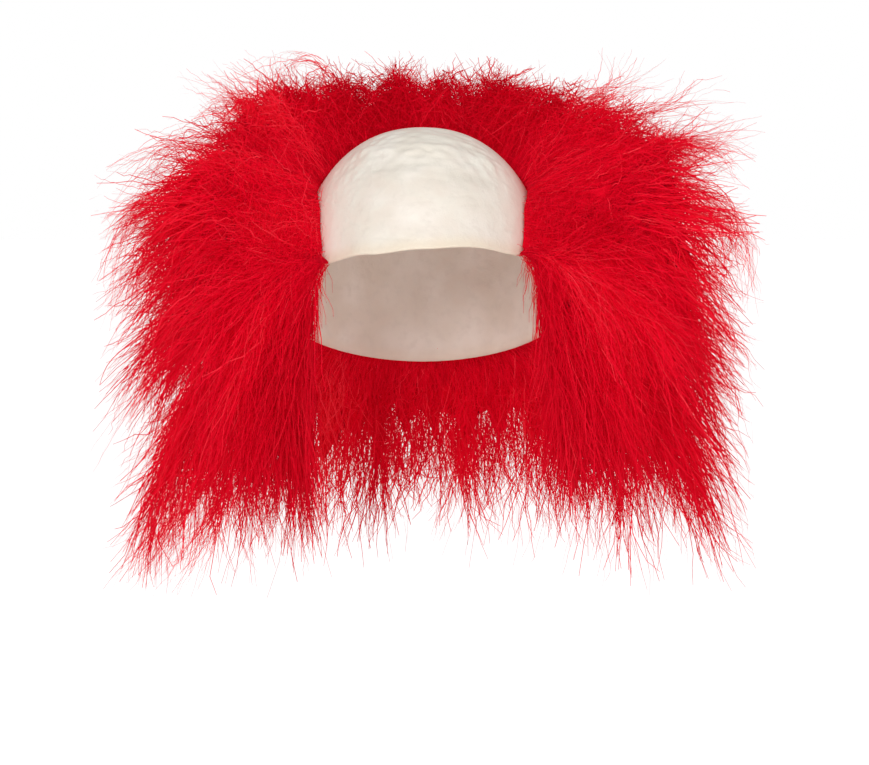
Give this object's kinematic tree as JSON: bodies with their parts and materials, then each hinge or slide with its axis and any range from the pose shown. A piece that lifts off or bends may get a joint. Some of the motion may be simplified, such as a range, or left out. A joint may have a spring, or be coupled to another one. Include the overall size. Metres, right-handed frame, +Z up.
{
  "type": "clown bald cap",
  "caption": "Thin latex bald cap, open underneath, with a broad bush of frizzy red hair round the sides and back, worn on the head with a clown costume.",
  "frame": {"origin": "highest point of the inside of the dome, where the cap sits on the crown of the head", "axes": "+Z up through the crown, -Y towards the brow and the free front rim, +X to the right of someone looking at the brow"},
  "size_m": [0.3685, 0.2586, 0.2986],
  "materials": {
    "latex": "satin cream latex",
    "hair": "frizzy red synthetic fibre"
  },
  "bodies": {
    "root": {"bald_cap": "latex", "hair_left": "hair", "hair_right": "hair", "hair_back": "hair"}
  },
  "joints": []
}
